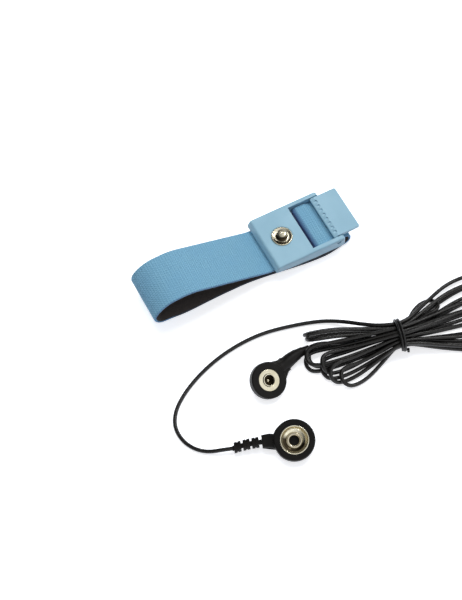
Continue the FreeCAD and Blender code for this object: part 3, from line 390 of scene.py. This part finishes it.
def woven_blue():
    f = Finish("woven_blue")
    along, across, _ = f.axes(f.uv())
    pick = f.wave(along, WEB_WEAVE[0])
    rib = f.wave(across, WEB_WEAVE[1])
    fuzz = f.noise(f.place(), 1500.0, 3.0)
    cloud = f.noise(f.place(), 120.0)
    half = BAND_WIDTH / 2
    selvedge = f.band(across.math("ABSOLUTE"), half - EDGE_WIDTH, half - 0.05)
    thread = f.band(pick * rib * 0.55 + pick * 0.25 + fuzz * 1.2, 0.0, 1.2)
    base = f.mix(thread, rgb(96, 148, 178), rgb(134, 184, 208))
    base = f.mix(f.spread(cloud, 0.0, 0.5), base, rgb(112, 164, 196))
    # Painted shade, dark violet, on the crease where the band's end turns down beside the face
    # plate.
    base = f.mix(f.span(along, TURN_DOWN_SHADE), base, rgb(58, 66, 124))
    # The selvedge's own colour, with painted shade on it along the lower run.
    selvedge_and_shade_colour = f.mix(f.span(along, LOWER_RUN_SHADE), rgb(112, 156, 194), rgb(50, 54, 66))
    f.bump(thread, 0.00014, 0.7)
    return f.set(Base_Color=f.mix(selvedge, base, selvedge_and_shade_colour), Roughness=f.spread(fuzz, 0.7, 0.9),
                 Sheen_Weight=0.15, Sheen_Roughness=0.4, Sheen_Tint=(0.75, 0.85, 1.0, 1.0))


def knitted_lining():
    f = Finish("knitted_lining")
    along, across, _ = f.axes(f.uv())
    loops = f.wave(along, LINING_WEAVE[0]) * f.wave(across, LINING_WEAVE[1])
    fuzz = f.noise(f.place(), 1800.0, 3.0)
    thread = f.band(loops + fuzz, 0.2, 1.3)
    f.bump(thread, 0.0001, 0.6)
    return f.set(Base_Color=f.mix(thread, rgb(46, 43, 41), rgb(92, 87, 82)),
                 Roughness=f.spread(fuzz, 0.65, 0.85))


def plated(name, bright, dull, rough):
    f = Finish(name)
    where = f.place()
    cloud = f.noise(where, 350.0, 3.0)
    scratch = f.noise(f.stretched(where, (1.0, 0.12, 1.0)), 900.0)
    wear = f.spread(scratch * 0.6 + cloud * 0.4, rough - 0.05, rough + 0.07)
    return f.set(Base_Color=f.mix(f.band(cloud, 0.35, 0.7), bright, dull), Metallic=1.0,
                 Roughness=wear)


def painted_shade_nickel(name, face, dark_from, dark_to, inside, side):
    """Nickel with painted shade: darker with depth, near a snap's axis and to one side of it."""
    f = Finish(name)
    where = f.place()
    spot, _, up = (Vector(item) for item in face)
    local = f.vector("SUBTRACT", "Vector", n0=where, n1=tuple(spot * MM))
    height = f.vector("DOT_PRODUCT", n0=local, n1=tuple(up))
    length = f.vector("LENGTH", n0=local)
    across = f.vector("DOT_PRODUCT", n0=local, n1=DIM_WAY)
    radius = (length * length - height * height).math("SQRT")
    # Painted shade in the snap's hollows, near its axis and on one side.
    shade = f.band(height * (-1 / MM), dark_from, dark_to)
    shade = shade * f.band(radius * (1 / MM), inside, inside + RADIUS_FADE, 1.0, 0.0)
    shade = shade * f.band(across * (1 / MM), side, side + SIDE_FADE)
    cloud = f.noise(where, 350.0, 3.0)
    plain = f.mix(f.band(cloud, 0.35, 0.7), rgb(252, 246, 222), rgb(232, 224, 196))
    return f.set(Base_Color=f.mix(shade, plain, rgb(66, 58, 44)), Metallic=1.0,
                 Roughness=f.spread(cloud, 0.16, 0.28))


def black_moulding():
    f = Finish("black_moulding")
    where = f.place()
    cloud = f.noise(where, 220.0, 3.0)
    grain = f.noise(where, 2200.0)
    f.bump(grain * 0.5 + cloud, 0.00004, 0.3)
    return f.set(Base_Color=f.mix(f.spread(cloud), rgb(12, 11, 10), rgb(22, 21, 19)),
                 Roughness=f.spread(grain, 0.36, 0.5), Specular_IOR_Level=0.2)


def cord_jacket():
    f = Finish("cord_jacket")
    where = f.place()
    cloud = f.noise(where, 160.0, 3.0)
    grain = f.noise(where, 1400.0)
    f.bump(grain, 0.00004, 0.3)
    return f.set(Base_Color=f.mix(f.spread(cloud), rgb(10, 9, 8), rgb(20, 19, 17)),
                 Roughness=f.spread(grain, 0.24, 0.36), Specular_IOR_Level=0.5)


def grained(name, one, two, height, strength, smooth, rough):
    """A plain finish with one grain in its colour, height and roughness."""
    f = Finish(name)
    grain = f.noise(f.place(), 900.0, 3.0)
    f.bump(grain, height, strength)
    return f.set(Base_Color=f.mix(f.spread(grain), one, two),
                 Roughness=f.spread(grain, smooth, rough))


def tie_jacket():
    return grained("tie_jacket", rgb(8, 8, 8), rgb(16, 15, 14), 0.00006, 0.4, 0.3, 0.45)


def resistor_body():
    return grained("resistor_body", rgb(196, 170, 128), rgb(210, 188, 150), 0.00003, 0.3, 0.35, 0.5)


def finish_node(names, material):
    for name in names:
        mesh = nodes[name].data
        mesh.materials.clear()
        mesh.materials.append(material)


def new_object(name, data):
    made = bpy.data.objects.new(name, data)
    bpy.context.scene.collection.objects.link(made)
    return made


def new_mesh(name, bm, material):
    mesh = bpy.data.meshes.new(name)
    bm.to_mesh(mesh)
    bm.free()
    mesh.materials.append(material)
    return new_object(name, mesh)


def new_piece(name, bm, material, body, node):
    """Makes a piece that rides on a body and takes the place of a node."""
    piece = new_mesh(name, bm, material)
    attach(piece, body)
    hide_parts(node)


def layer_outline(inner, outer, ribs):
    """Cross-section of one layer of the band: y and distance outward from the route."""
    half = BAND_WIDTH / 2
    points = []
    number, depth = ribs
    steps = number * 4
    for i in range(steps + 1):
        y = -half + BAND_WIDTH * i / steps
        wave = math.cos(2 * math.pi * i / 4) * depth
        inward = min(1.0, (half - abs(y)) / EDGE_WIDTH)
        points.append((y, outer - depth - wave - (1 - inward) * EDGE_DROP))
    for share in (1.0, 0.97, 0.5, 0.0, -0.5, -0.97, -1.0):
        points.append((half * share, inner + (EDGE_DROP if abs(share) == 1.0 else 0.0)))
    return points


def sway(travelled):
    """Sideways place of the band at a length along it."""
    for (start, low), (end, high) in zip(BAND_SWAY, BAND_SWAY[1:]):
        if start < travelled <= end:
            share = (travelled - start) / (end - start)
            return low + (high - low) * share * share * (3.0 - 2.0 * share)
    return 0.0


def walk_band(name, inner, outer, ribs, material, node):
    """Draws a cross-section along the band's runs and bends."""
    bm = bmesh.new()
    along = bm.verts.layers.float.new("along")
    across = bm.verts.layers.float.new("across")
    heading = Vector((-1.0, 0.0, 0.0))
    out = Vector((0.0, 0.0, 1.0))
    at = Vector((BAND_START[0] + BUCKLE_X, 0.0, BAND_START[1]))
    loop = []
    for y, distance in layer_outline(inner, outer, ribs):
        vert = bm.verts.new(at + Vector((0, y, 0)) + out * distance)
        vert[across] = y
        loop.append(vert)
    edges = [bm.edges.new(pair) for pair in zip(loop, loop[1:] + loop[:1])]
    bmesh.ops.contextual_create(bm, geom=edges)
    travelled = 0.0

    def draw_on(edges, place, angle, centre, advance):
        nonlocal travelled
        travelled += advance
        made = bmesh.ops.extrude_edge_only(bm, edges=edges)["geom"]
        verts = [item for item in made if isinstance(item, bmesh.types.BMVert)]
        if angle:
            turn = Matrix.Rotation(angle, 3, Vector((0, 1, 0)))
            bmesh.ops.rotate(bm, cent=centre, matrix=turn, verts=verts)
        else:
            bmesh.ops.translate(bm, vec=place, verts=verts)
        for vert in verts:
            vert[along] = travelled
        ahead = set(verts)
        return [item for item in made if isinstance(item, bmesh.types.BMEdge)
                and item.verts[0] in ahead and item.verts[1] in ahead]

    for run, radius, turn in BAND_TURNS:
        if run > 0:
            count = max(1, round(run / RUN_STEP))
            for _ in range(count):
                edges = draw_on(edges, heading * (run / count), 0.0, None, run / count)
            at = at + heading * run
        if radius > 0:
            angle = -math.radians(turn)
            centre = at + out * (-radius if turn > 0 else radius)
            count = max(3, round(abs(angle) * (radius + BEND_OUTSIDE) / BEND_STEP))
            for _ in range(count):
                edges = draw_on(edges, None, angle / count, centre, radius * abs(angle) / count)
            turned = Matrix.Rotation(angle, 3, Vector((0, 1, 0)))
            at = centre + turned @ (at - centre)
            heading = turned @ heading
            out = turned @ out
    bmesh.ops.contextual_create(bm, geom=edges)
    sheet_map = bm.loops.layers.uv.new("UVMap")
    for face in bm.faces:
        face.smooth = True
        for corner in face.loops:
            corner[sheet_map].uv = (corner.vert[along], corner.vert[across])
    for vert in bm.verts:
        vert.co.y += sway(vert[along])
    bmesh.ops.recalc_face_normals(bm, faces=bm.faces)
    bmesh.ops.scale(bm, vec=(MM, MM, MM), verts=bm.verts)
    new_piece(name, bm, material, "wristband", node)


def face_matrix(face):
    """Frame of a snap: x along the cord, z out of its face, in metres."""
    spot, along, up = (Vector(item) for item in face)
    across = up.cross(along).normalized()
    turned = Matrix((along, across, up)).transposed().to_4x4()
    return Matrix.Translation(spot * MM) @ turned @ Matrix.Diagonal((MM, MM, MM, 1.0))


def spun_piece(name, profile, face, material, node, body="ground_cord"):
    """Turns a closed profile of radius and height round a snap's own axis."""
    bm = bmesh.new()
    loop = [bm.verts.new((radius, 0.0, height)) for radius, height in profile]
    edges = [bm.edges.new((one, two)) for one, two in zip(loop, loop[1:] + loop[:1])
             if one.co.x or two.co.x]
    bmesh.ops.spin(bm, geom=loop + edges, axis=(0, 0, 1), cent=(0, 0, 0), dvec=(0, 0, 0),
                   angle=2 * math.pi, steps=SPIN_STEPS, use_merge=True, use_duplicate=False)
    bmesh.ops.remove_doubles(bm, verts=bm.verts, dist=1e-5)
    bmesh.ops.transform(bm, matrix=face_matrix(face), verts=bm.verts)
    bmesh.ops.recalc_face_normals(bm, faces=bm.faces)
    for item in bm.faces:
        item.smooth = True
    new_piece(name, bm, material, body, node)


def redrawn_copy(name, node, face, material, change):
    """A snap's piece drawn again by change, which moves one point of the snap's frame."""
    bm = bmesh.new()
    bm.from_mesh(nodes[node].data)
    bmesh.ops.remove_doubles(bm, verts=bm.verts, dist=1e-6)
    here = face_matrix(face)
    bmesh.ops.transform(bm, matrix=here.inverted(), verts=bm.verts)
    lengthwise = [edge for edge in bm.edges
                  if min(vert.co.x for vert in edge.verts) > CUT_FROM
                  and abs(edge.verts[0].co.x - edge.verts[1].co.x) > LONGEST_EDGE]
    bmesh.ops.subdivide_edges(bm, edges=lengthwise, cuts=CUTS)
    for vert in bm.verts:
        change(vert.co)
    bmesh.ops.transform(bm, matrix=here, verts=bm.verts)
    for item in bm.faces:
        item.smooth = False
    new_piece(name, bm, material, "ground_cord", node)


def thin_boot(spot):
    """Draws the boot thinner and bends it down towards the cord."""
    share = min(1.0, max(0.0, (spot.x - BOOT_FROM) / (BOOT_TO - BOOT_FROM)))
    thin = 1.0 - BOOT_THINNER * share
    centre = BOOT_BEND * share * share
    spot.y = centre + (spot.y - centre) * thin - BOOT_DROP * share * share
    spot.z = BOOT_AXIS + (spot.z - BOOT_AXIS) * thin


def bow_relief(spot):
    """Thins the strain relief's core and bows it to the side, with both of its ends kept."""
    radius = math.hypot(spot.y, spot.z - RELIEF_AXIS)
    if spot.x > RELIEF_FROM and abs(radius - CORE_RADIUS) < CORE_NEAR:
        spot.y *= CORE_DRAWN / CORE_RADIUS
        spot.z = RELIEF_AXIS + (spot.z - RELIEF_AXIS) * CORE_DRAWN / CORE_RADIUS
    rise = min(1.0, max(0.0, (spot.x - RELIEF_START) / RELIEF_RISE))
    fall = max(0.0, (spot.x - RELIEF_CREST) / (RELIEF_END - RELIEF_CREST))
    spot.y -= RELIEF_BOW * rise * rise * (3.0 - 2.0 * rise) * (1.0 - min(1.0, fall) ** 2)


def hank_place(u, v, z):
    """Point given along and across the hank, in metres."""
    angle = math.radians(HANK_ANGLE)
    return Vector((HANK_MIDDLE[0] + u * math.cos(angle) - v * math.sin(angle),
                   HANK_MIDDLE[1] + u * math.sin(angle) + v * math.cos(angle), z)) * MM


def twist_tie(material):
    """Covered wire wound twice round the waist, its end bent down in front."""
    path = []
    steps = TIE_STEPS * TIE_WRAPS
    for i in range(steps + 1):
        turn = 2 * math.pi * TIE_WRAPS * i / steps + math.pi
        path.append(hank_place((i / steps - 0.5) * TIE_PITCH * TIE_WRAPS,
                               TIE_CENTRE[0] + TIE_OVAL[0] * math.cos(turn),
                               TIE_CENTRE[1] - TIE_OVAL[1] * math.sin(turn)))
    path += [hank_place(*spot) for spot in TIE_END]
    bm = bmesh.new()
    before = None
    last = len(path) - 1
    for i, spot in enumerate(path):
        way = (path[min(i + 1, last)] - path[max(i - 1, 0)]).normalized()
        frame_at = Matrix.Translation(spot) @ way.to_track_quat("Z", "X").to_matrix().to_4x4()
        made = bmesh.ops.create_circle(bm, cap_ends=i in (0, last), segments=TIE_SIDES,
                                       radius=TIE_RADIUS * MM, matrix=frame_at)["verts"]
        ring = {edge for vert in made for edge in vert.link_edges
                if edge.other_vert(vert) in made}
        if before:
            bmesh.ops.bridge_loops(bm, edges=list(before | ring))
        before = ring
    bmesh.ops.recalc_face_normals(bm, faces=bm.faces)
    for face in bm.faces:
        face.smooth = len(face.verts) == 4
    new_piece("twist_tie", bm, material, "ground_cord", "cord_tie")


def ground_lead():
    """One unbroken cord from the large snap through the hank to the small snap."""
    points = [point for fold in CORD_ROUTE for point in fold]
    curve = bpy.data.curves.new("ground_lead", "CURVE")
    curve.dimensions = "3D"
    curve.bevel_depth = CORD_DIAMETER / 2 * MM
    curve.bevel_resolution = 3
    curve.resolution_u = 5
    curve.use_fill_caps = True
    spline = curve.splines.new("NURBS")
    spline.points.add(len(points) - 1)
    for point, place in zip(spline.points, points):
        point.co = (place[0] * MM, place[1] * MM, place[2] * MM, 1.0)
    spline.order_u = 3
    spline.use_endpoint_u = True
    curve.materials.append(cord_jacket())
    piece = new_object("ground_lead", curve)
    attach(piece, "ground_cord")
    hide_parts("cord_lead", "cord_hank", "cord_tail")
    tuple(c * MM for c in points[0])


def table():
    """White table that glows for the camera and for what is seen in metal, not onto the part."""
    f = Finish("white_table")
    mottle = f.noise(f.place(), 30.0)
    rays = [f.node("ShaderNodeLightPath", output="Is %s Ray" % kind)
            for kind in ("Camera", "Glossy", "Transmission")]
    seen = (rays[0] + rays[1] + rays[2]).math("MINIMUM", 1.0)
    f.set(Base_Color=f.mix(f.spread(mottle), rgb(232, 237, 245), rgb(238, 243, 250)),
          Roughness=0.9, Specular_IOR_Level=0.1, Emission_Color=WHITE + (1.0,),
          Emission_Strength=seen * TABLE_GLOW)
    bm = bmesh.new()
    bmesh.ops.create_grid(bm, x_segments=1, y_segments=1, size=TABLE_SIZE)
    new_mesh("table_top", bm, f.material)


def lamps():
    for name, (place, size, power, colour, in_metal) in LAMPS.items():
        data = bpy.data.lights.new(name, "AREA")
        data.shape = "RECTANGLE"
        data.size, data.size_y = size
        data.energy = power
        data.color = colour
        light = new_object(name, data)
        light.location = place
        light.visible_glossy = in_metal
        aim = Vector(LAMP_AIM) - Vector(place)
        light.rotation_euler = aim.to_track_quat("-Z", "Y").to_euler()


def surroundings():
    """White behind the table, a graded room in metal, and a soft light on the rest."""
    world = bpy.data.worlds.new("studio")
    bpy.context.scene.world = world
    world.use_nodes = True
    tree = world.node_tree
    back = tree.nodes["Background"]
    where = tree.nodes.new("ShaderNodeTexCoord")
    split = tree.nodes.new("ShaderNodeSeparateXYZ")
    tree.links.new(where.outputs["Generated"], split.inputs[0])
    right, ahead, above = (Sock(tree, split.outputs[i]) for i in range(3))
    path = tree.nodes.new("ShaderNodeLightPath")
    in_view = Sock(tree, path.outputs["Is Camera Ray"])
    in_metal = Sock(tree, path.outputs["Is Glossy Ray"])

    def graded(middle, with_x, with_y):
        return right * with_x + ahead * with_y + middle

    mirrored = in_metal * graded(*MIRRORED).math("MAXIMUM", MIRRORED_LEAST)
    soft = (1.0 - in_metal - in_view) * graded(*SOFT_LIGHT)
    put(tree, in_view + mirrored + soft, back.inputs["Strength"])
    plain = (above * 2.0 + in_metal + in_view).math("MINIMUM", 1.0).math("MAXIMUM", 0.0)
    tint = tree.nodes.new("ShaderNodeCombineColor")
    for place, low in zip(tint.inputs, LOW_TINT):
        put(tree, low + plain * (1.0 - low), place)
    tint.inputs["Blue"].default_value = 1.0
    tree.links.new(tint.outputs[0], back.inputs["Color"])


def camera():
    data = bpy.data.cameras.new("camera")
    data.sensor_fit = "AUTO"
    data.sensor_width = 36.0
    data.lens = CAMERA_LENS
    data.clip_start = 0.01
    cam = new_object("camera", data)
    back = Vector(CAMERA_BACK).normalized()
    cam.location = Vector(CAMERA_TARGET) + back * CAMERA_DISTANCE
    cam.rotation_euler = (-back).to_track_quat("-Z", "Y").to_euler()
    bpy.context.scene.camera = cam


def wristband(nickel):
    walk_band("elastic_webbing", 0.0, WEB_THICK, WEB_RIBS, woven_blue(),
              "elastic_web")
    walk_band("skin_side_lining", -LINING_THICK, 0.0, LINING_RIBS, knitted_lining(),
              "conductive_lining")
    finish_node(["buckle_frame", "clamp_lever"], moulded_blue())
    finish_node(["stud_rivet"], nickel)
    stud_nickel = painted_shade_nickel("stud_nickel", STUD_FACE, *STUD_DIM)
    spun_piece("snap_post", STUD, STUD_FACE, stud_nickel, "snap_stud", "wristband")


def snaps(nickel):
    small_cup = painted_shade_nickel("small_cup_nickel", SMALL_FACE, *SMALL_DIM)
    large_cup = painted_shade_nickel("large_cup_nickel", LARGE_FACE, *LARGE_DIM)
    tinned = plated("tinned_brass", rgb(206, 204, 198), rgb(180, 176, 166), 0.3)
    copper = plated("bare_copper", rgb(214, 140, 100), rgb(184, 108, 72), 0.3)
    black = black_moulding()
    finish_node(["small_snap_socket"], small_cup)
    finish_node(["small_snap_terminal"], tinned)
    finish_node(["small_snap_conductor"], copper)
    finish_node(["limit_resistor"], resistor_body())
    spun_piece("large_snap_cup", LARGE_CUP, LARGE_FACE, large_cup, "large_snap_socket")
    spun_piece("small_snap_rivet_head", SMALL_RIVET, SMALL_FACE, nickel, "small_snap_rivet")
    spun_piece("large_snap_eyelet", LARGE_EYELET, LARGE_FACE, nickel, "large_snap_rivet")
    redrawn_copy("small_snap_boot", "small_snap_cover", SMALL_FACE, black,
                 thin_boot)
    redrawn_copy("large_snap_relief", "large_snap_cover", LARGE_FACE, black,
                 bow_relief)
    redrawn_copy("large_snap_crimp", "large_snap_terminal", LARGE_FACE, tinned,
                 bow_relief)
    redrawn_copy("large_snap_core", "large_snap_conductor", LARGE_FACE, copper,
                 bow_relief)


def main():
    camera()
    nickel = plated("bright_nickel", rgb(226, 218, 196), rgb(200, 190, 166), 0.16)
    steel = plated("rolled_steel", rgb(190, 188, 184), rgb(160, 158, 154), 0.3)
    wristband(nickel)
    snaps(nickel)
    finish_node(["contact_plate", "small_snap_spring", "large_snap_spring"], steel)
    ground_lead()
    twist_tie(tie_jacket())
    table()
    lamps()
    surroundings()
    bpy.context.scene.view_settings.view_transform = "Standard"


main()
def plain(box):
    return [[round(float(c), 6) for c in corner] for corner in box]
